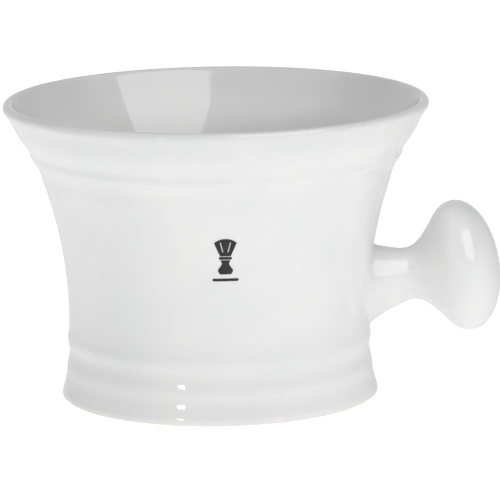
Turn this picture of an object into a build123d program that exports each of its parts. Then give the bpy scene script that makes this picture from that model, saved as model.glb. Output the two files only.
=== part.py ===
from build123d import *
import os
from math import asin, cos, degrees, radians, sin

# A shaving mug: a flared porcelain cup with two bands above its foot and two soft ridges under
# its rim, held by a short hollow knob that is luted to the wall. Millimetres, +Z up. The origin is
# on the cup's axis in the plane that it stands on; the knob points along +X and the printed mark
# faces -Y. Outlines are drawn at the glazed surface, as (radius, height), and the fired body is
# one glaze thickness inside them.

# ---- driving dimensions ------------------------------------------------------------------

rim_radius = 60.0
lip_height = 84.7
lip_radius = 1.5            # the lip is a full round, 3 mm thick
flare_angle = 36.0          # the wall's lean where it runs into the lip, from upright
foot_radius = 44.8          # widest point of the foot
foot_edge_radius = 1.45
foot_ring_width = 3.15
foot_ring_corner = 0.9
recess_height = 2.75        # roof of the recess under the floor
recess_corner = 1.2
waist_radius = 42.6
waist_height = 23.5
ridge_start_radius = 48.35  # where the plain trumpet ends and the upper ridges begin
ridge_start_height = 60.0
floor_height = 7.5
floor_corner = 14.0
inner_wall_radius = 38.35   # the upright part of the inner wall, above the floor corner

glaze = 0.25
glaze_stop_height = 0.8     # the glaze is wiped off the foot ring below this

knob_tilt = 8.0             # the knob's axis rises by this angle
knob_reach = 55.0           # the knob's datum, near its neck, from the cup's axis
knob_height = 33.33
neck_radius = 7.5
head_radius = 18.65
head_centre = 14.5          # the head's widest section, from the knob's datum
dome_depth = 10.5
stem_root = 18.0            # how far the stem's outline runs back, into the wall
slip = 0.35                 # thickness of the luting slip between stem and wall
vent_diameter = 1.5
vent_position = -3.0        # along the knob's axis, from its datum

mark_height = 47.0          # middle of the printed mark
mark_thickness = 0.1
bristle_gap_lean = 14       # degrees, the lean of the two gaps in the brush's bristles
collar_rise = 0.65          # the brush's collar, above the middle of the mark
rule_drop = -5.6            # the rule, below the middle of the mark

# ---- outlines shared by several pieces ---------------------------------------------------
# Each outline can be drawn at the glazed surface (inset 0) or under it, inset millimetres in.

trumpet_rise = ridge_start_height - waist_height
trumpet_flare = ridge_start_radius - waist_radius
trumpet_radius = (trumpet_rise**2 + trumpet_flare**2) / (2 * trumpet_flare)
trumpet_angle = degrees(asin(trumpet_rise / trumpet_radius))
lip_centre = (rim_radius - lip_radius, lip_height - lip_radius)
flare = (sin(radians(flare_angle)), cos(radians(flare_angle)))
foot_edge_centre = (foot_radius - foot_edge_radius, foot_edge_radius - glaze)
foot_inner_radius = foot_edge_centre[0] - foot_ring_width - foot_ring_corner
curve_steps = 30


def draw_inset_spline(points, tangents, inset, side=1):
    """A smooth curve through points, moved inset towards its left (side 1) or right (side -1)."""
    curve = Spline(*points, tangents=tangents, mode=Mode.PRIVATE)
    if inset == 0:
        return Spline(*points, tangents=tangents)
    moved = []
    for step in range(curve_steps + 1):
        u = step / curve_steps
        moved.append(curve @ u + (curve % u).rotate(Axis.Z, 90 * side) * inset)
    return Spline(*moved, tangents=tangents)


def draw_outside(inset=0.0):
    """The outside, from the foot ring's outer edge to the crest of the lip."""
    CenterArc(foot_edge_centre, foot_edge_radius - inset, -90, 90)
    foot_to_waist = [
        (foot_radius, foot_edge_centre[1]),
        (44.25, 4.2),
        (43.5, 6.7),
        (43.3, 8.4),
        (43.25, 9.9),
        (42.85, 11.9),
        (42.55, 14.3),
        (42.95, 17.2),
        (42.9, 19.6),
        (waist_radius, waist_height),
    ]
    draw_inset_spline(foot_to_waist, [(0, 1), (0, 1)], inset)
    trumpet_centre = (waist_radius + trumpet_radius, waist_height)
    trumpet = CenterArc(trumpet_centre, trumpet_radius + inset, 180, -trumpet_angle)
    ridges_to_lip = [
        (ridge_start_radius, ridge_start_height),
        (49.15, 62.5),
        (49.65, 64.3),
        (50.35, 66.0),
        (51.4, 67.8),
        (52.4, 69.4),
        (52.8, 70.8),
        (53.65, 72.4),
        (55.05, 74.3),
        (56.75, 77.2),
        (58.25, 80.2),
        (lip_centre[0] + lip_radius * flare[1], lip_centre[1] - lip_radius * flare[0]),
    ]
    draw_inset_spline(ridges_to_lip, [trumpet % 1, flare], inset)
    CenterArc(lip_centre, lip_radius - inset, -flare_angle, 90 + flare_angle)


def draw_inside(inset=0.0):
    """The inside, from the crest of the lip down to the middle of the floor."""
    corner_height = floor_height + floor_corner
    CenterArc(lip_centre, lip_radius - inset, 90, 90 - flare_angle)
    lip_to_floor = [
        (lip_centre[0] - lip_radius * flare[1], lip_centre[1] + lip_radius * flare[0]),
        (53.3, 78.3),
        (48.9, 71.6),
        (44.5, 61.2),
        (40.4, 44.7),
        (38.6, 30.0),
        (inner_wall_radius, corner_height),
    ]
    draw_inset_spline(lip_to_floor, [(-flare[0], -flare[1]), (0, -1)], inset)
    corner_centre = (inner_wall_radius - floor_corner, corner_height)
    corner = CenterArc(corner_centre, floor_corner + inset, 0, -90)
    Line(corner @ 1, (0, floor_height - inset))


def draw_underside(inset=0.0):
    """The recess under the floor and the foot ring, out to the foot ring's outer edge."""
    recess_centre = (foot_inner_radius - recess_corner, recess_height - recess_corner)
    recess_fillet = CenterArc(recess_centre, recess_corner + inset, 90, -90)
    ring_centre = (foot_inner_radius + foot_ring_corner, foot_ring_corner - glaze)
    ring_corner = CenterArc(ring_centre, foot_ring_corner - inset, 180, 90)
    Line((0, recess_height + inset), recess_fillet @ 0)
    Line(recess_fillet @ 1, ring_corner @ 0)
    Line(ring_corner @ 1, (foot_edge_centre[0], inset - glaze))


def draw_cup(inset=0.0):
    """Half of the cup's whole section, closed along the axis."""
    draw_outside(inset)
    draw_inside(inset)
    draw_underside(inset)
    Line((0, recess_height + inset), (0, floor_height - inset))


def draw_filled_cup(inset=0.0):
    """Half of the section that the cup would have if it were solid."""
    draw_outside(inset)
    top = lip_height - inset
    base = inset - glaze
    Polyline((lip_centre[0], top), (0, top), (0, base), (foot_edge_centre[0], base))


def draw_wall_middle():
    """The space within the middle of the wall and floor, to part inside from outside coats."""
    crest = (lip_centre[0], lip_height + 5)
    middle = [(55.0, 78.0), (50.6, 70.8), (46.3, 60.6), (42.4, 44.4), (40.5, 25.0), (38.0, 5.2)]
    Polyline((0, crest[1]), crest, lip_centre, *middle, (0, 5.2), close=True)


with BuildPart() as filled_body:
    with BuildSketch(Plane.XZ):
        with BuildLine():
            draw_filled_cup(glaze)
        make_face()
    revolve(axis=Axis.Z)

with BuildPart() as filled_body_and_slip:
    with BuildSketch(Plane.XZ):
        with BuildLine():
            draw_filled_cup(glaze - slip)
        make_face()
    revolve(axis=Axis.Z)

# ---- the knob's own plane and outline ----------------------------------------------------

knob_direction = (cos(radians(knob_tilt)), 0, sin(radians(knob_tilt)))
knob_plane = Plane(origin=(knob_reach, 0, knob_height), x_dir=knob_direction, z_dir=(0, -1, 0))
knob_axis = Axis(knob_plane.origin, knob_plane.x_dir)


def draw_knob(inset=0.0):
    """Half of the knob: a flared stem, a narrow neck and a head that ends in a shallow dome."""
    neck = (-1.1, neck_radius)
    stem_points = [(-stem_root, 13.9), (-13.9, 12.0), (-10.0, 10.1), (-5.0, 8.35), neck]
    stem = draw_inset_spline(stem_points, [(0.92, -0.4), (1, 0)], inset, side=-1)
    head_points = [
        neck,
        (1.2, 7.9),
        (3.8, 9.75),
        (6.5, 12.75),
        (9.4, 16.4),
        (11.8, 18.1),
        (head_centre, head_radius),
    ]
    draw_inset_spline(head_points, [(1, 0), (1, 0)], inset, side=-1)
    dome = EllipticalCenterArc(
        (head_centre, 0), dome_depth - inset, head_radius - inset, start_angle=0, arc_size=90
    )
    Polyline(dome @ 0, ((stem @ 0).X, 0), stem @ 0)


def draw_knob_hollow():
    """The hollow left when the casting slip is poured out, open at the stem's root."""
    bulb = Spline(
        (-2 * stem_root, 9.0),
        (-10.0, 6.0),
        (-1.1, 3.6),
        (4.0, 5.2),
        (8.4, 10.4),
        (head_centre - 0.6, 14.2),
        (head_centre + 4.4, 9.8),
        (head_centre + 6.5, 0),
        tangents=[(1, -0.1), (0, -1)],
    )
    Polyline(bulb @ 1, (-2 * stem_root, 0), bulb @ 0)


with BuildPart() as glazed_knob:
    with BuildSketch(knob_plane):
        with BuildLine():
            draw_knob()
        make_face()
    revolve(axis=knob_axis)

with BuildPart() as fired_knob:
    with BuildSketch(knob_plane):
        with BuildLine():
            draw_knob(glaze)
        make_face()
    revolve(axis=knob_axis)

with BuildPart() as knob_hollow:
    with BuildSketch(knob_plane):
        with BuildLine():
            draw_knob_hollow()
        make_face()
    revolve(axis=knob_axis)

# The pinhole that lets steam out of the hollow knob in the kiln, through the stem's underside.

vent_start = knob_plane.from_local_coords((vent_position, 0, 0))
vent_plane = Plane(origin=vent_start, z_dir=-knob_plane.y_dir)
with BuildPart() as vent:
    with BuildSketch(vent_plane):
        Circle(vent_diameter / 2)
    extrude(amount=2 * neck_radius)

# ---- the cup's fired body ----------------------------------------------------------------

with BuildPart() as mug_body:
    with BuildSketch(Plane.XZ):
        with BuildLine():
            draw_cup(glaze)
        make_face()
    revolve(axis=Axis.Z)
mug_body.part.label = "mug_body"

# ---- the knob, a hollow casting cut to fit the wall --------------------------------------

with BuildPart() as knob_handle:
    add(fired_knob.part)
    add(knob_hollow.part, mode=Mode.SUBTRACT)
    add(vent.part, mode=Mode.SUBTRACT)
    add(filled_body_and_slip.part, mode=Mode.SUBTRACT)
knob_handle.part.label = "knob_handle"

# ---- the luting slip between the stem's root and the wall --------------------------------

with BuildPart() as joint_slip:
    add(fired_knob.part)
    add(knob_hollow.part, mode=Mode.SUBTRACT)
    add(filled_body_and_slip.part, mode=Mode.INTERSECT)
    add(filled_body.part, mode=Mode.SUBTRACT)
joint_slip.part.label = "joint_slip"

# ---- the glaze coats ---------------------------------------------------------------------

with BuildSketch(Plane.XZ) as coat_section:
    with BuildLine():
        draw_cup()
    make_face()
    with BuildLine():
        draw_cup(glaze)
    make_face(mode=Mode.SUBTRACT)
    with Locations((0, glaze_stop_height)):
        Rectangle(2 * rim_radius, lip_height, align=Align.MIN, mode=Mode.INTERSECT)

with BuildPart() as inside_glaze:
    with BuildSketch(Plane.XZ):
        add(coat_section.sketch_local)
        with BuildLine():
            draw_wall_middle()
        make_face(mode=Mode.INTERSECT)
    revolve(axis=Axis.Z)
inside_glaze.part.label = "inside_glaze"

foot_ring_middle = foot_inner_radius + foot_ring_corner + foot_ring_width / 2

with BuildPart() as outside_glaze:
    with BuildSketch(Plane.XZ):
        add(coat_section.sketch_local)
        with BuildLine():
            draw_wall_middle()
        make_face(mode=Mode.SUBTRACT)
        Rectangle(foot_ring_middle, recess_height + 2, align=Align.MIN, mode=Mode.SUBTRACT)
    revolve(axis=Axis.Z)
    add(glazed_knob.part, mode=Mode.SUBTRACT)
outside_glaze.part.label = "outside_glaze"

with BuildPart() as recess_glaze:
    with BuildSketch(Plane.XZ):
        add(coat_section.sketch_local)
        Rectangle(foot_ring_middle, recess_height + 2, align=Align.MIN, mode=Mode.INTERSECT)
    revolve(axis=Axis.Z)
recess_glaze.part.label = "recess_glaze"

with BuildPart() as knob_glaze:
    add(glazed_knob.part)
    add(fired_knob.part, mode=Mode.SUBTRACT)
    add(filled_body.part, mode=Mode.SUBTRACT)
    add(vent.part, mode=Mode.SUBTRACT)
knob_glaze.part.label = "knob_glaze"

# ---- the printed mark: a plain shaving brush over a rule ---------------------------------

with BuildPart() as mark_layer:
    with BuildSketch(Plane.XZ):
        with BuildLine():
            draw_filled_cup(-mark_thickness)
        make_face()
        with BuildLine():
            draw_filled_cup()
        make_face(mode=Mode.SUBTRACT)
    revolve(axis=Axis.Z)


def draw_bristles():
    """A fan of bristles with a rounded end."""
    tip = ThreePointArc((3.1, 5.1), (0, 6.25), (-3.1, 5.1))
    left = ThreePointArc(tip @ 1, (-2.2, 2.9), (-1.45, 1.25))
    right = ThreePointArc((1.45, 1.25), (2.2, 2.9), tip @ 0)
    Line(left @ 1, right @ 0)


def draw_brush_handle():
    """The right half of the turned handle: a waist under the collar and a rounded grip."""
    side = Spline(
        (1.35, 0.05),
        (1.0, -0.75),
        (1.95, -2.55),
        (1.55, -4.0),
        tangents=[(-0.3, -1), (-0.6, -1)],
    )
    Line((0, 0.05), side @ 0)
    Line(side @ 1, (0, -4.0))


mark_plane = Plane(origin=(0, -rim_radius, mark_height), x_dir=(1, 0, 0), z_dir=(0, -1, 0))

with BuildPart() as front_decal:
    with BuildSketch(mark_plane):
        with BuildLine():
            draw_bristles()
        make_face()
        for lean in (-bristle_gap_lean, bristle_gap_lean):
            with Locations(Location((lean * 0.075, 3.8), -lean)):
                SlotOverall(3.0, 0.3, rotation=90, mode=Mode.SUBTRACT)
        with Locations((0, collar_rise)):
            RectangleRounded(3.5, 0.75, 0.2)
        with BuildLine():
            draw_brush_handle()
            mirror(about=Plane.YZ)
        make_face()
        with Locations((0, rule_drop)):
            SlotOverall(7.2, 0.75)
    extrude(amount=-rim_radius / 2)
    add(mark_layer.part, mode=Mode.INTERSECT)
front_decal.part.label = "front_decal"

# ---- write one STEP file for each piece --------------------------------------------------

os.makedirs("parts", exist_ok=True)
export_step(mug_body.part, "parts/mug_body.step")
export_step(knob_handle.part, "parts/knob_handle.step")
export_step(joint_slip.part, "parts/joint_slip.step")
export_step(outside_glaze.part, "parts/outside_glaze.step")
export_step(inside_glaze.part, "parts/inside_glaze.step")
export_step(recess_glaze.part, "parts/recess_glaze.step")
export_step(knob_glaze.part, "parts/knob_glaze.step")
export_step(front_decal.part, "parts/front_decal.step")
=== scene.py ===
import math

import bpy
import numpy as np
from mathutils import Matrix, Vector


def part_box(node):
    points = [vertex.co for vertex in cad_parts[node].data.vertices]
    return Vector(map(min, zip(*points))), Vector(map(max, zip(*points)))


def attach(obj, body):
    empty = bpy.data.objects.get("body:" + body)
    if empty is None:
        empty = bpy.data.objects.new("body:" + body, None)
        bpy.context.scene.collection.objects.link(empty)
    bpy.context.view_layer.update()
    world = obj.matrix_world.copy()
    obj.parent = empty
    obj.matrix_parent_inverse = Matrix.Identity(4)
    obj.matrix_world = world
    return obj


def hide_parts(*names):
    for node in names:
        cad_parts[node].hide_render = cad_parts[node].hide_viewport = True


# The looks of a shaving mug: a porcelain cup with two bands over its foot and two soft ridges
# under its rim, a knob luted to its wall, one unbroken coat of white glaze and a printed mark.
# Outlines are drawn in millimetres as (radius, height) and turned into metres by mesh_piece().
# The studio and the camera are in metres and degrees.

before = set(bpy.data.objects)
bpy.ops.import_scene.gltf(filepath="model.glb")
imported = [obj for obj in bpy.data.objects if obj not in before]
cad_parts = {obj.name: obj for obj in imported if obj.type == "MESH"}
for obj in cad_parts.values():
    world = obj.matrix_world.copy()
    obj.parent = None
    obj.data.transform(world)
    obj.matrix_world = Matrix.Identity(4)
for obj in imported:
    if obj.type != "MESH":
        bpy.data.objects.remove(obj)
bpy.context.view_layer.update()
MM = 0.001

# ---- sizes of the cup and the knob, in millimetres ---------------------------------------

cup_low, cup_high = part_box("outside_glaze")
RIM_RADIUS = round(-cup_low.x / MM, 1)
LIP_HEIGHT = round(cup_high.z / MM, 1)
GLAZE_STOP = round(cup_low.z / MM, 2)
GLAZE = 0.25
LIP_RADIUS = 1.5
LIP_LEAN = 36  # degrees from upright
FOOT_RADIUS = 44.8
FOOT_EDGE = 1.45
FOOT_RING_WIDTH = 3.15
FOOT_RING_CORNER = 0.9
RECESS_ROOF = 2.75
RECESS_CORNER = 1.2
WAIST = (42.6, 23.5)
RIDGE_START = (48.35, 60.0)
FLOOR_HEIGHT = 7.5
FLOOR_CORNER = 14.0
INNER_WALL = 38.35
KNOB_TILT = math.radians(8)
KNOB_DATUM = np.array([55.0, 0.0, 33.33])
NECK = (-1.1, 7.5)
HEAD_CENTRE = 14.5
HEAD_RADIUS = 18.65
DOME_DEPTH = 10.5
FILLET = 1.3
VENT_RADIUS = 0.75
VENT_POSITION = -3.0

# ---- how finely the meshes are divided ---------------------------------------------------

COLUMNS = 192
FLOOR_RINGS = 14
WALL_PATCH_STEPS = 10
FILLET_STEPS = 8
STEM_STEPS = 16
VENT_STEPS = 4
HALVINGS = 40

# The window that is left in the wall for the stem: its heights, and columns to either side.
WINDOW_HEIGHTS = (16.2, 47.5)
WINDOW_REACH = 11
# The window that is left in the stem for the vent: rows and columns to either side.
VENT_REACH = (2, 3)

# ---- tones -------------------------------------------------------------------------------

# Tones by height, partly real and partly painted shade. Glaze pools in the hollows between the bands and
# ridges and thins on their crests, and painted shade darkens the stripes over the foot bands and the band
# under the lip. The ramp also darkens the inside by height: (height, tone).
POOLING_AND_PAINTED_SHADE = [
    (0.0, 0.98),
    (4.5, 0.94),
    (7.8, 1.0),
    (10.9, 0.93),
    (14.8, 1.0),
    (18.9, 0.945),
    (24.0, 1.0),
    (60.0, 1.0),
    (67.5, 1.0),
    (70.5, 0.995),
    (73.5, 1.0),
    (76.0, 0.99),
    (79.0, 0.96),
    (83.3, 0.94),
]
WHITE = 0.82
PATCH_TONE = 0.965
GLAZE_INDEX = 1.75
TABLE_GLOW = 0.635

# How bright the studio is, from straight down to straight up: (height of the direction, tone).
ROOM_LEFT = [(-1.0, 0.6), (-0.35, 0.6), (0.0, 0.55), (0.3, 0.5), (0.6, 0.22), (0.75, 0.77), (1.0, 0.7)]
ROOM_RIGHT = [(-1.0, 0.43), (-0.35, 0.53), (0.0, 0.73), (0.3, 0.4), (0.6, 0.13), (0.75, 0.5), (1.0, 0.8)]
ROOM_BACK = [(-1.0, 0.7), (-0.35, 0.85), (0.0, 0.72), (0.3, 0.57), (0.6, 0.26), (0.75, 0.43), (1.0, 0.4)]
ROOM_CORNER = [(-1.0, 0.6), (-0.35, 0.6), (0.0, 0.42), (0.3, 0.35), (0.6, 0.2), (0.75, 0.4), (1.0, 0.4)]

# ---- table and camera, in metres, degrees and millimetres of lens ------------------------

TABLE_HALF = 4.0
CAMERA_DISTANCE = 1.3675
CAMERA_HEIGHT = 0.307
CAMERA_AROUND = 2.5
CAMERA_YAW = 0.378
CAMERA_DIP = 11.003
CAMERA_ROLL = 0.83
LENS = 354.3
FILM_WIDTH = 36.0


# ---- outlines ----------------------------------------------------------------------------


def spline(points, start, end, step=0.4):
    """Points along the smooth curve through points, clamped to a direction at each end."""
    knots = np.array(points, float)
    chord = np.linalg.norm(np.diff(knots, axis=0), axis=1)
    n = len(knots)
    system = np.zeros((n, n))
    right = np.zeros((n, 2))
    system[0, 0] = system[-1, -1] = 1
    right[0] = np.array(start) / np.linalg.norm(start)
    right[-1] = np.array(end) / np.linalg.norm(end)
    for i in range(1, n - 1):
        a, b = chord[i - 1], chord[i]
        system[i, i - 1 : i + 2] = b, 2 * (a + b), a
        right[i] = 3 * (b * (knots[i] - knots[i - 1]) / a + a * (knots[i + 1] - knots[i]) / b)
    slope = np.linalg.solve(system, right)
    out = []
    for i in range(n - 1):
        h = chord[i]
        count = max(2, int(math.ceil(h / step)))
        for u in np.arange(count) / count:
            share = (2 * u**3 - 3 * u**2 + 1, u**3 - 2 * u**2 + u, 3 * u**2 - 2 * u**3, u**3 - u**2)
            value = share[0] * knots[i] + share[1] * h * slope[i]
            out.append(value + share[2] * knots[i + 1] + share[3] * h * slope[i + 1])
    out.append(knots[-1])
    return np.array(out)


def arc(centre, radii, start, end, count):
    """Points along an arc; radii is its radius, or an ellipse's two, and angles are in degrees."""
    across, up = np.broadcast_to(radii, 2)
    angle = np.radians(np.linspace(start, end, count + 1))
    return np.column_stack([centre[0] + across * np.cos(angle), centre[1] + up * np.sin(angle)])


def joined(*stretches):
    """One run of points from stretches that share their end points."""
    return np.vstack([stretches[0]] + [s[1:] for s in stretches[1:]])


def normals_of(line, side):
    """Unit normals along a run of points, to its left (side 1) or right (side -1)."""
    step = np.diff(line, axis=0)
    length = np.linalg.norm(step, axis=1)
    direction = step / length[:, None]
    along = np.vstack([direction[:1], direction])
    ahead = np.vstack([direction, direction[-1:]])
    before = np.concatenate([length[:1], length])[:, None]
    after = np.concatenate([length, length[-1:]])[:, None]
    mean = along * after + ahead * before
    mean /= np.linalg.norm(mean, axis=1)[:, None]
    return side * np.column_stack([-mean[:, 1], mean[:, 0]])


TRUMPET_RISE = RIDGE_START[1] - WAIST[1]
TRUMPET_FLARE = RIDGE_START[0] - WAIST[0]
TRUMPET_RADIUS = (TRUMPET_RISE**2 + TRUMPET_FLARE**2) / (2 * TRUMPET_FLARE)
TRUMPET_ANGLE = math.degrees(math.asin(TRUMPET_RISE / TRUMPET_RADIUS))
LIP_CENTRE = (RIM_RADIUS - LIP_RADIUS, LIP_HEIGHT - LIP_RADIUS)
FLARE = (math.sin(math.radians(LIP_LEAN)), math.cos(math.radians(LIP_LEAN)))
FOOT_EDGE_CENTRE = (FOOT_RADIUS - FOOT_EDGE, FOOT_EDGE - GLAZE)
FOOT_INNER = FOOT_EDGE_CENTRE[0] - FOOT_RING_WIDTH - FOOT_RING_CORNER


def disc(radius, height, outwards):
    """Points along a level stretch between the axis and a radius."""
    radii = np.linspace(0, radius, FLOOR_RINGS) if outwards else np.linspace(radius, 0, FLOOR_RINGS)
    return np.column_stack([radii, np.full(FLOOR_RINGS, height)])


def outside_outline():
    """The glazed outside, from where the glaze starts over the foot ring up to the lip's crest."""
    rise = math.degrees(math.asin((GLAZE_STOP - FOOT_EDGE_CENTRE[1]) / FOOT_EDGE))
    foot = arc(FOOT_EDGE_CENTRE, FOOT_EDGE, rise, 0, 4)
    bands = spline(
        [
            (FOOT_RADIUS, FOOT_EDGE_CENTRE[1]),
            (44.5, 2.8),
            (44.1, 4.2),
            (43.78, 5.5),
            (43.48, 7.1),
            (43.38, 8.5),
            (43.22, 9.8),
            (42.93, 11.2),
            (42.68, 12.6),
            (42.62, 14.1),
            (42.84, 15.6),
            (43.0, 17.0),
            (42.9, 18.3),
            (42.72, 19.6),
            (42.65, 21.2),
            WAIST,
        ],
        (0, 1),
        (0, 1),
    )
    trumpet_centre = (WAIST[0] + TRUMPET_RADIUS, WAIST[1])
    trumpet = arc(trumpet_centre, TRUMPET_RADIUS, 180, 180 - TRUMPET_ANGLE, 30)
    lean = math.radians(TRUMPET_ANGLE)
    ridges = spline(
        [
            RIDGE_START,
            (49.15, 62.5),
            (49.65, 64.3),
            (50.35, 66.0),
            (51.4, 67.8),
            (52.4, 69.4),
            (52.8, 70.8),
            (53.65, 72.4),
            (55.05, 74.3),
            (56.75, 77.2),
            (58.25, 80.2),
            (LIP_CENTRE[0] + LIP_RADIUS * FLARE[1], LIP_CENTRE[1] - LIP_RADIUS * FLARE[0]),
        ],
        (math.sin(lean), math.cos(lean)),
        FLARE,
    )
    lip = arc(LIP_CENTRE, LIP_RADIUS, -LIP_LEAN, 90, 16)
    return joined(foot, bands, trumpet, ridges, lip)


def inside_outline():
    """The glazed inside, from the lip's crest down to the middle of the floor."""
    corner_height = FLOOR_HEIGHT + FLOOR_CORNER
    lip = arc(LIP_CENTRE, LIP_RADIUS, 90, 180 - LIP_LEAN, 8)
    wall = spline(
        [
            (LIP_CENTRE[0] - LIP_RADIUS * FLARE[1], LIP_CENTRE[1] + LIP_RADIUS * FLARE[0]),
            (53.3, 78.3),
            (48.9, 71.6),
            (44.5, 61.2),
            (40.4, 44.7),
            (38.6, 30.0),
            (INNER_WALL, corner_height),
        ],
        (-FLARE[0], -FLARE[1]),
        (0, -1),
        step=1.2,
    )
    corner_centre = (INNER_WALL - FLOOR_CORNER, corner_height)
    corner = arc(corner_centre, FLOOR_CORNER, 0, -90, 24)
    return joined(lip, wall, corner, disc(corner_centre[0], FLOOR_HEIGHT, outwards=False))


def recess_outline():
    """The glazed recess, from the middle of its roof to where the glaze stops on the foot ring."""
    centre = (FOOT_INNER - RECESS_CORNER, RECESS_ROOF - RECESS_CORNER)
    fillet = arc(centre, RECESS_CORNER, 90, 0, 10)
    wall = np.array([[FOOT_INNER, centre[1]], [FOOT_INNER, GLAZE_STOP]])
    return joined(disc(centre[0], RECESS_ROOF, outwards=True), fillet, wall)


def knob_outline():
    """The glazed stem, head and dome as (distance along the knob's axis, radius)."""
    stem = spline([(-18.0, 13.9), (-13.9, 12.0), (-10.0, 10.1), (-5.0, 8.35), NECK], (0.92, -0.4), (1, 0))
    head = spline(
        [
            NECK,
            (1.2, 7.9),
            (3.8, 9.75),
            (6.5, 12.75),
            (9.4, 16.4),
            (11.8, 18.1),
            (HEAD_CENTRE, HEAD_RADIUS),
        ],
        (1, 0),
        (1, 0),
        step=0.6,
    )
    dome = arc((HEAD_CENTRE, 0), (DOME_DEPTH, HEAD_RADIUS), 90, 0, 48)
    return stem, head, dome


# ---- meshes ------------------------------------------------------------------------------


def mesh_piece(name, points, faces, normals, material):
    """A smooth-shaded mesh from points in millimetres, shaded with its exact surface normals."""
    mesh = bpy.data.meshes.new(name)
    mesh.from_pydata((np.asarray(points) * MM).tolist(), [], faces)
    mesh.validate()
    mesh.polygons.foreach_set("use_smooth", [True] * len(mesh.polygons))
    mesh.normals_split_custom_set_from_vertices(np.asarray(normals).tolist())
    mesh.materials.append(material)
    piece = bpy.data.objects.new(name, mesh)
    bpy.context.scene.collection.objects.link(piece)
    return piece


class Skin:
    """A surface gathered point by point, each face in the piece it belongs to."""

    def __init__(self):
        self.points = []
        self.normals = []
        self.faces = {}

    def add(self, point, normal):
        """Adds a point and gives its number."""
        self.points.append(point)
        self.normals.append(normal)
        return len(self.points) - 1

    def face(self, piece, corners):
        """A face; a corner named twice is dropped, so a quad can narrow to a triangle."""
        unique = list(dict.fromkeys(corners))
        if len(unique) > 2:
            self.faces.setdefault(piece, []).append(unique)

    def join_rows(self, piece, row, following):
        """Faces all round between two closed rows of point numbers."""
        for i in range(len(row)):
            j = (i + 1) % len(row)
            self.face(piece, [row[i], row[j], following[j], following[i]])

    def shell(self, piece, thickness, material):
        """The closed mesh piece that lies between the surface and thickness under it."""
        faces = self.faces[piece]
        used = sorted({corner for face in faces for corner in face})
        number = {corner: i for i, corner in enumerate(used)}
        faces = [[number[corner] for corner in face] for face in faces]
        points = np.array([self.points[corner] for corner in used])
        normals = np.array([self.normals[corner] for corner in used])
        count = len(points)
        edges = {(a, b) for face in faces for a, b in zip(face, face[1:] + face[:1])}
        rims = [(a, b) for a, b in sorted(edges) if (b, a) not in edges]
        under = [[i + count for i in reversed(face)] for face in faces]
        sides = [[b, a, a + count, b + count] for a, b in rims]
        both = np.vstack([points, points - normals * thickness])
        return mesh_piece(piece, both, faces + under + sides, np.vstack([normals, -normals]), material)


def turned(radius, height, angle):
    """A point on a circle about the cup's axis; angle 0 is towards +X."""
    return np.array([radius * math.cos(angle), radius * math.sin(angle), height])


def on_axis(radius):
    """Whether an outline has come in to its axis, where a ring of points is only one."""
    return radius < 1e-6


def outline_reader(line, normal, key):
    """A function that reads point and normal from an outline at a value of coordinate key."""
    columns = np.column_stack([line, normal])
    order = line[:, key]

    def read(value):
        return [float(np.interp(value, order, columns[:, c])) for c in range(4)]

    return read


def nearest_on(line, normal, point):
    """Distance from an outline, out along its normal, and the nearest point's coordinates."""
    start, end = line[:-1], line[1:]
    step = end - start
    share = np.clip(((point - start) * step).sum(1) / (step**2).sum(1), 0, 1)
    foot = start + share[:, None] * step
    i = int(np.argmin(((point - foot) ** 2).sum(1)))
    outward = normal[i] * (1 - share[i]) + normal[i + 1] * share[i]
    return float(np.dot(point - foot[i], outward)), foot[i]


KNOB_AXIS = np.array([math.cos(KNOB_TILT), 0, math.sin(KNOB_TILT)])
KNOB_UP = np.array([-math.sin(KNOB_TILT), 0, math.cos(KNOB_TILT)])
ACROSS = np.array([0.0, 1.0, 0.0])


def on_knob(s, radius, phi):
    """A point round the knob's axis; phi 0 is its upper side and +90 degrees towards +Y."""
    out = math.cos(phi) * KNOB_UP + math.sin(phi) * ACROSS
    return KNOB_DATUM + s * KNOB_AXIS + radius * out


def knob_direction(along, outward, phi):
    """A direction at phi round the knob, from its parts along the axis and away from it."""
    return along * KNOB_AXIS + outward * (math.cos(phi) * KNOB_UP + math.sin(phi) * ACROSS)


def patch(skin, piece, ring, ring_uv, inner_uv, surface, steps):
    """Rings of points on a surface between a closed ring of its grid and an inner loop."""
    row = ring
    for k in range(1, steps + 1):
        share = k / steps
        following = []
        for outer, inner in zip(ring_uv, inner_uv):
            uv = (1 - share) * np.array(outer) + share * np.array(inner)
            following.append(skin.add(*surface(*uv)))
        skin.join_rows(piece, row, following)
        row = following
    return row


def window_ring(rows, low, high, left, right):
    """Point numbers round a rectangular window in a grid, and their (row, column) places."""
    places = [(low, j) for j in range(left, right + 1)]
    places += [(i, right) for i in range(low + 1, high + 1)]
    places += [(high, j) for j in range(right - 1, left - 1, -1)]
    places += [(i, left) for i in range(high - 1, low, -1)]
    return [rows[i][j] for i, j in places], places


def lathe_rows(skin, line, normal):
    """Rows of points round the cup's axis, one for each point of an outline."""
    rows = []
    for (radius, height), (n_out, n_up) in zip(line, normal):
        if on_axis(radius):
            rows.append([skin.add(turned(0, height, 0), turned(0, n_up, 0))] * COLUMNS)
            continue
        row = []
        for j in range(COLUMNS):
            angle = 2 * math.pi * j / COLUMNS
            row.append(skin.add(turned(radius, height, angle), turned(n_out, n_up, angle)))
        rows.append(row)
    return rows


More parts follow.
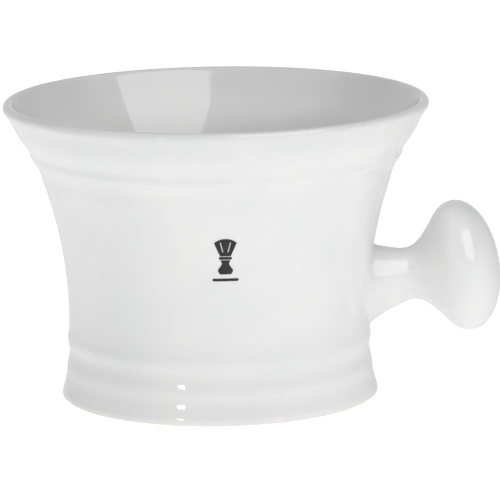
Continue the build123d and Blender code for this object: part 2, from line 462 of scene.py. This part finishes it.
def resting_ball(phi, stem, stem_normal, wall, wall_normal):
    """Where a ball of the fillet's radius rests between stem and wall, at phi round the knob."""
    read = outline_reader(stem, stem_normal, 0)

    def ball(s):
        _, radius, n_along, n_out = read(s)
        contact = on_knob(s, radius, phi)
        outward = knob_direction(n_along, n_out, phi)
        centre = contact + FILLET * outward / np.linalg.norm(outward)
        place = np.array([math.hypot(centre[0], centre[1]), centre[2]])
        gap, foot = nearest_on(wall, wall_normal, place)
        return gap - FILLET, centre, contact, foot

    low, high = stem[0, 0], stem[-1, 0]
    for _ in range(HALVINGS):
        middle = (low + high) / 2
        if ball(middle)[0] > 0:
            high = middle
        else:
            low = middle
    _, centre, contact, foot = ball(high)
    angle = math.atan2(centre[1], centre[0])
    return {"s": high, "centre": centre, "stem": contact, "angle": angle, "foot": foot}


def fillet_rows(skin, piece, row, balls):
    """Arcs over the resting balls, from the wall to the stem."""
    for k in range(1, FILLET_STEPS + 1):
        share = k / FILLET_STEPS
        following = []
        for ball in balls:
            start = (turned(*ball["foot"], ball["angle"]) - ball["centre"]) / FILLET
            end = (ball["stem"] - ball["centre"]) / FILLET
            sweep = math.acos(np.clip(np.dot(start, end), -1, 1))
            a = math.sin((1 - share) * sweep) / math.sin(sweep)
            b = math.sin(share * sweep) / math.sin(sweep)
            out = a * start + b * end
            following.append(skin.add(ball["centre"] + FILLET * out, -out))
        skin.join_rows(piece, row, following)
        row = following
    return row


def add_stem(skin, row, balls, phis, stem, stem_normal):
    """The stem from the fillet to the neck, open on its underside at the vent."""
    read = outline_reader(stem, stem_normal, 0)
    neck = stem[-1, 0]

    def along(ball, step):
        return ball["s"] + (neck - ball["s"]) * step / STEM_STEPS

    def on_stem(s, phi):
        _, radius, n_along, n_out = read(s)
        return on_knob(s, radius, phi), knob_direction(n_along, n_out, phi)

    grid = [row]
    for step in range(1, STEM_STEPS + 1):
        grid.append([skin.add(*on_stem(along(b, step), phi)) for b, phi in zip(balls, phis)])

    under = min(range(len(phis)), key=lambda i: math.cos(phis[i]))
    left, right = under - VENT_REACH[1], under + VENT_REACH[1]
    middle_step = round((VENT_POSITION - balls[under]["s"]) / (neck - balls[under]["s"]) * STEM_STEPS)
    low, high = middle_step - VENT_REACH[0], middle_step + VENT_REACH[0]
    for i in range(STEM_STEPS):
        for j in range(len(phis)):
            k = (j + 1) % len(phis)
            if not (low <= i < high and left <= j < right):
                skin.face("knob_coat", [grid[i][j], grid[i][k], grid[i + 1][k], grid[i + 1][j]])

    ring, places = window_ring(grid, low, high, left, right)
    stem_radius = read(VENT_POSITION)[1]
    ring_uv = [(along(balls[j], i), phis[j] % (2 * math.pi)) for i, j in places]
    hole_uv = []
    for s, phi in ring_uv:
        turn = math.atan2((phi - math.pi) * stem_radius, s - VENT_POSITION)
        across = math.pi + VENT_RADIUS * math.sin(turn) / stem_radius
        hole_uv.append((VENT_POSITION + VENT_RADIUS * math.cos(turn), across))
    patch(skin, "knob_coat", ring, ring_uv, hole_uv, on_stem, VENT_STEPS)
    return grid[-1]


def build_coats(glaze, inner_glaze):
    """The unbroken coat of glaze, in three pieces that meet edge to edge: outside, inside, knob."""
    outside = outside_outline()
    line = joined(outside, inside_outline())
    normal = normals_of(line, -1)
    wall, wall_normal = outside, normal[: len(outside)]
    skin = Skin()
    rows = lathe_rows(skin, line, normal)

    # A window is left in the wall where the knob's stem meets it.
    low, high = np.searchsorted(outside[:, 1], WINDOW_HEIGHTS)
    for i in range(len(rows) - 1):
        piece = "outside_coat" if i < len(outside) - 1 else "inside_coat"
        for j in range(-COLUMNS // 2, COLUMNS // 2):
            k = (j + 1) % COLUMNS
            if not (low <= i < high and -WINDOW_REACH <= j < WINDOW_REACH):
                skin.face(piece, [rows[i][j], rows[i][k], rows[i + 1][k], rows[i + 1][j]])

    ring, places = window_ring(rows, low, high, -WINDOW_REACH, WINDOW_REACH)
    ring_uv = [(2 * math.pi * j / COLUMNS, outside[i, 1]) for i, j in places]
    offsets = [skin.points[corner] - KNOB_DATUM for corner in ring]
    phis = [math.atan2(np.dot(offset, ACROSS), np.dot(offset, KNOB_UP)) for offset in offsets]

    stem, head, dome = knob_outline()
    stem_normal = normals_of(stem, 1)
    balls = [resting_ball(phi, stem, stem_normal, wall, wall_normal) for phi in phis]
    read_wall = outline_reader(wall, wall_normal, 1)

    def on_wall(angle, height):
        radius, _, n_out, n_up = read_wall(height)
        return turned(radius, height, angle), turned(n_out, n_up, angle)

    feet_uv = [(ball["angle"], ball["foot"][1]) for ball in balls]
    row = patch(skin, "outside_coat", ring, ring_uv, feet_uv, on_wall, WALL_PATCH_STEPS)
    row = fillet_rows(skin, "knob_coat", row, balls)
    row = add_stem(skin, row, balls, phis, stem, stem_normal)

    rest = joined(stem[-2:], head, dome)
    rest_normal = normals_of(rest, 1)
    for (s, radius), (n_along, n_out) in list(zip(rest, rest_normal))[2:]:
        if on_axis(radius):
            following = [skin.add(on_knob(s, 0, 0), KNOB_AXIS)] * len(phis)
        else:
            points = [on_knob(s, radius, phi) for phi in phis]
            outward = [knob_direction(n_along, n_out, phi) for phi in phis]
            following = [skin.add(*pair) for pair in zip(points, outward)]
        skin.join_rows("knob_coat", row, following)
        row = following

    pieces = []
    for piece, material in (("outside_coat", glaze), ("inside_coat", inner_glaze), ("knob_coat", glaze)):
        pieces.append(skin.shell(piece, GLAZE, material))
    return pieces


def build_recess_coat(material):
    """The glaze on the recess under the floor, ending on the inner side of the foot ring."""
    line = recess_outline()
    skin = Skin()
    rows = lathe_rows(skin, line, normals_of(line, -1))
    for row, following in zip(rows, rows[1:]):
        skin.join_rows("recess_coat", row, following)
    return skin.shell("recess_coat", GLAZE, material)


# ---- materials ---------------------------------------------------------------------------


def add_node(tree, kind, inputs=(), **settings):
    """A shader node; inputs maps sockets to values or to the outputs that feed them."""
    made = tree.nodes.new(kind)
    for name, value in settings.items():
        setattr(made, name, value)
    for key, value in dict(inputs).items():
        if isinstance(value, bpy.types.NodeSocket):
            tree.links.new(value, made.inputs[key])
        else:
            made.inputs[key].default_value = value
    return made


def new_material(name):
    """A new material, its node tree, its shader and the place on the object in metres."""
    material = bpy.data.materials.new(name)
    material.use_nodes = True
    tree = material.node_tree
    place = add_node(tree, "ShaderNodeTexCoord").outputs["Object"]
    return material, tree, tree.nodes["Principled BSDF"], place


def noise(tree, place, size, detail=2.0, roughness=0.5):
    """Noise whose features are about size metres across, from 0 to 1."""
    inputs = {"Vector": place, "Scale": 1 / size, "Detail": detail, "Roughness": roughness}
    return add_node(tree, "ShaderNodeTexNoise", inputs).outputs["Fac"]


def spread(tree, value, low, high, to_low, to_high):
    """value, taken from low..high to to_low..to_high and held there."""
    inputs = {"Value": value, "From Min": low, "From Max": high, "To Min": to_low, "To Max": to_high}
    return add_node(tree, "ShaderNodeMapRange", inputs).outputs["Result"]


def blend(tree, factor, first, second, kind="MIX"):
    """Two colours mixed, from all first at factor 0 to all second at 1."""
    inputs = {0: factor, 6: first, 7: second}
    return add_node(tree, "ShaderNodeMix", inputs, data_type="RGBA", blend_type=kind).outputs[2]


def ramp(tree, value, stops, interpolation="B_SPLINE"):
    """A grey ramp through (position, value) stops."""
    made = add_node(tree, "ShaderNodeValToRGB", {"Fac": value})
    made.color_ramp.interpolation = interpolation
    elements = made.color_ramp.elements
    while len(elements) < len(stops):
        elements.new(0.5)
    for element, (position, grey) in zip(elements, stops):
        element.position = position
        element.color = (grey, grey, grey, 1)
    return made.outputs["Color"]


def bumped(tree, heights):
    """A normal from several (height, depth in metres) layers, laid one over another."""
    normal = None
    for height, depth in heights:
        inputs = {"Strength": 1.0, "Distance": depth, "Height": height}
        if normal:
            inputs["Normal"] = normal
        normal = add_node(tree, "ShaderNodeBump", inputs).outputs["Normal"]
    return normal


def glaze_material(name, tint):
    """Fired white glaze: clear gloss over white, darker in the hollows and under the lip with pooled
    glaze and painted shade, with faint waves and specks.
    """
    material, tree, shader, place = new_material(name)
    height = add_node(tree, "ShaderNodeSeparateXYZ", {"Vector": place}).outputs["Z"]
    along = spread(tree, height, 0, LIP_HEIGHT * MM, 0, 1)
    # Painted shade: darker tones by height in the hollows of the bands and under the lip, partly glaze
    # pooling.
    pooled_and_painted_shade = ramp(tree, along, [(z / LIP_HEIGHT, grey) for z, grey in POOLING_AND_PAINTED_SHADE])

    body = [WHITE * part for part in tint] + [1]
    cool = [WHITE * part * PATCH_TONE for part in (0.995, 0.998, 1.0)] + [1]
    patches = spread(tree, noise(tree, place, 0.021, 3), 0.35, 0.68, 0, 1)
    colour = blend(tree, patches, body, cool)
    colour = blend(tree, 1.0, colour, pooled_and_painted_shade, "MULTIPLY")

    # Iron specks, a few to the square centimetre, no more than a shade off the glaze.
    cells = add_node(tree, "ShaderNodeTexVoronoi", {"Vector": place, "Scale": 420.0})
    rare = spread(tree, noise(tree, place, 0.0055, 1), 0.66, 0.7, 0, 1)
    dots = spread(tree, cells.outputs["Distance"], 0.1, 0.2, 1, 0)
    speck = add_node(tree, "ShaderNodeMath", {0: rare, 1: dots}, operation="MULTIPLY").outputs[0]
    faint = spread(tree, speck, 0, 1, 0, 0.05)
    colour = blend(tree, faint, colour, (0.3, 0.27, 0.23, 1))
    tree.links.new(colour, shader.inputs["Base Color"])

    smudge = noise(tree, place, 0.012, 4)
    tree.links.new(spread(tree, smudge, 0.3, 0.75, 0.035, 0.085), shader.inputs["Roughness"])
    shader.inputs["IOR"].default_value = GLAZE_INDEX
    waves = (noise(tree, place, 0.016, 1), 0.00003)
    peel = (noise(tree, place, 0.0021, 2), 0.000004)
    tree.links.new(bumped(tree, [waves, peel]), shader.inputs["Normal"])
    return material


def biscuit_material():
    """Bare fired porcelain, where the glaze is wiped off the foot ring: matt, warm, finely pitted."""
    material, tree, shader, place = new_material("fired_porcelain")
    clay = blend(tree, noise(tree, place, 0.006, 5), (0.74, 0.72, 0.68, 1), (0.82, 0.80, 0.765, 1))
    wear = spread(tree, noise(tree, place, 0.0025, 6, 0.7), 0.56, 0.7, 0, 0.35)
    tree.links.new(blend(tree, wear, clay, (0.5, 0.48, 0.45, 1)), shader.inputs["Base Color"])
    matt = spread(tree, noise(tree, place, 0.003, 3), 0.3, 0.7, 0.55, 0.75)
    tree.links.new(matt, shader.inputs["Roughness"])
    grain = (noise(tree, place, 0.0004, 3), 0.00003)
    turning_inputs = {"Vector": place, "Scale": 260.0, "Distortion": 1.5}
    rings = {"wave_type": "RINGS", "rings_direction": "Z"}
    turning = add_node(tree, "ShaderNodeTexWave", turning_inputs, **rings)
    tree.links.new(bumped(tree, [grain, (turning.outputs["Fac"], 0.00001)]), shader.inputs["Normal"])
    return material


def slip_material():
    """The luting slip: the same porcelain brushed on wet, a little rougher and greyer."""
    material, tree, shader, place = new_material("luting_slip")
    clay = blend(tree, noise(tree, place, 0.004, 5), (0.66, 0.645, 0.62, 1), (0.76, 0.745, 0.72, 1))
    tree.links.new(clay, shader.inputs["Base Color"])
    matt = spread(tree, noise(tree, place, 0.002, 3), 0.3, 0.7, 0.65, 0.85)
    tree.links.new(matt, shader.inputs["Roughness"])
    tree.links.new(bumped(tree, [(noise(tree, place, 0.0012, 4), 0.00008)]), shader.inputs["Normal"])
    return material


def ink_material():
    """Fired-on ceramic ink: near black, satin, with the fine grain of a screen print."""
    material, tree, shader, place = new_material("decal_ink")
    grain = spread(tree, noise(tree, place, 0.00022, 3), 0.35, 0.75, 0, 1)
    ink = blend(tree, grain, (0.016, 0.016, 0.017, 1), (0.045, 0.045, 0.046, 1))
    thin = spread(tree, noise(tree, place, 0.0016, 2), 0.58, 0.75, 0, 0.5)
    tree.links.new(blend(tree, thin, ink, (0.085, 0.085, 0.083, 1)), shader.inputs["Base Color"])
    satin = spread(tree, noise(tree, place, 0.0007, 2), 0.3, 0.7, 0.28, 0.42)
    tree.links.new(satin, shader.inputs["Roughness"])
    tree.links.new(bumped(tree, [(grain, 0.000006)]), shader.inputs["Normal"])
    return material


def floor_material():
    """A white table that is lit from within as well as from above, so that it shows as white."""
    material, tree, shader, place = new_material("white_table")
    paper = blend(tree, noise(tree, place, 0.05, 3), (0.8, 0.8, 0.8, 1), (0.82, 0.82, 0.82, 1))
    tree.links.new(paper, shader.inputs["Base Color"])
    shader.inputs["Roughness"].default_value = 0.9
    shader.inputs["Specular IOR Level"].default_value = 0.0
    shader.inputs["Emission Color"].default_value = (1, 1, 1, 1)
    shader.inputs["Emission Strength"].default_value = TABLE_GLOW
    return material


# ---- studio ------------------------------------------------------------------------------


def build_table():
    """A wide flat table at the height that the cup stands on."""
    mesh = bpy.data.meshes.new("table")
    signs = [(-1, -1), (1, -1), (1, 1), (-1, 1)]
    mesh.from_pydata([(TABLE_HALF * x, TABLE_HALF * y, 0) for x, y in signs], [], [(0, 1, 2, 3)])
    mesh.materials.append(floor_material())
    table = bpy.data.objects.new("table", mesh)
    bpy.context.scene.collection.objects.link(table)
    table.visible_glossy = False


def light_surroundings():
    """A plain pale studio: left, right, back and the corner behind the knob differ a little."""
    world = bpy.data.worlds.new("studio")
    bpy.context.scene.world = world
    world.use_nodes = True
    tree = world.node_tree
    direction = add_node(tree, "ShaderNodeTexCoord").outputs["Generated"]
    parts = add_node(tree, "ShaderNodeSeparateXYZ", {"Vector": direction}).outputs
    height = spread(tree, parts["Z"], -1, 1, 0, 1)
    tones = []
    for stops in (ROOM_LEFT, ROOM_RIGHT, ROOM_BACK, ROOM_CORNER):
        tones.append(ramp(tree, height, [((z + 1) / 2, grey) for z, grey in stops], "EASE"))
    front = blend(tree, spread(tree, parts["X"], -0.6, 0.6, 0, 1), tones[0], tones[1])
    back = blend(tree, spread(tree, parts["X"], 0.1, 0.5, 0, 1), tones[2], tones[3])
    room = blend(tree, spread(tree, parts["Y"], -0.05, 0.5, 0, 1), front, back)
    tree.links.new(room, tree.nodes["Background"].inputs["Color"])


def add_softbox(name, azimuth, elevation, distance, width, height, radiance, turn=0.0):
    """A rectangular lamp that faces the cup; azimuth 0 is in front, 90 on the knob's side."""
    around = math.radians(azimuth)
    up = math.radians(elevation)
    lamp = bpy.data.lights.new(name, "AREA")
    lamp.shape = "RECTANGLE"
    lamp.size = width
    lamp.size_y = height
    lamp.energy = radiance * math.pi * width * height
    box = bpy.data.objects.new(name, lamp)
    towards = Matrix.Rotation(around, 4, "Z") @ Matrix.Rotation(math.pi / 2 - up, 4, "X")
    place = Matrix.Translation((0, 0, distance)) @ Matrix.Rotation(math.radians(turn), 4, "Z")
    box.matrix_world = Matrix.Translation((0, 0, LIP_HEIGHT * MM / 2)) @ towards @ place
    bpy.context.scene.collection.objects.link(box)


def add_camera():
    """A long lens a little above the rim, turned so that the knob points slightly away from it."""
    data = bpy.data.cameras.new("camera")
    data.lens = LENS
    data.sensor_width = FILM_WIDTH
    camera = bpy.data.objects.new("camera", data)
    around = math.radians(CAMERA_AROUND)
    sideways = -CAMERA_DISTANCE * math.sin(around)
    forward = -CAMERA_DISTANCE * math.cos(around)
    place = Matrix.Translation((sideways, forward, CAMERA_HEIGHT))
    aim = Matrix.Rotation(-around - math.radians(CAMERA_YAW), 4, "Z")
    tilt = Matrix.Rotation(math.radians(90 - CAMERA_DIP), 4, "X")
    roll = Matrix.Rotation(math.radians(-CAMERA_ROLL), 4, "Z")
    camera.matrix_world = place @ aim @ tilt @ roll
    bpy.context.scene.collection.objects.link(camera)
    bpy.context.scene.camera = camera


# ---- the scene ---------------------------------------------------------------------------

white_glaze = glaze_material("white_glaze", (1.0, 0.998, 0.995))
inner_glaze = glaze_material("inner_glaze", (1.0, 0.998, 0.995))

outside_coat, inside_coat, knob_coat = build_coats(white_glaze, inner_glaze)
recess_coat = build_recess_coat(white_glaze)
stands_for = {
    outside_coat: ("outside_glaze", "white_glaze"),
    inside_coat: ("inside_glaze", "inner_glaze"),
    knob_coat: ("knob_glaze", "white_glaze"),
    recess_coat: ("recess_glaze", "white_glaze"),
}
for coat, (cad_node, finish) in stands_for.items():
    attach(coat, "root")
    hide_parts(cad_node)

biscuit = biscuit_material()
cad_finishes = {
    "mug_body": biscuit,
    "knob_handle": biscuit,
    "joint_slip": slip_material(),
    "front_decal": ink_material(),
}
for cad_node, material in cad_finishes.items():
    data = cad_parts[cad_node].data
    data.materials.clear()
    data.materials.append(material)

build_table()
light_surroundings()
add_softbox("key", 37.5, 44, distance=1.0, width=0.78, height=0.94, radiance=1.5, turn=-14)
add_softbox("spark", -31, 9, distance=0.9, width=0.07, height=0.04, radiance=27.0)
add_camera()
bpy.context.scene.view_settings.view_transform = "Standard"
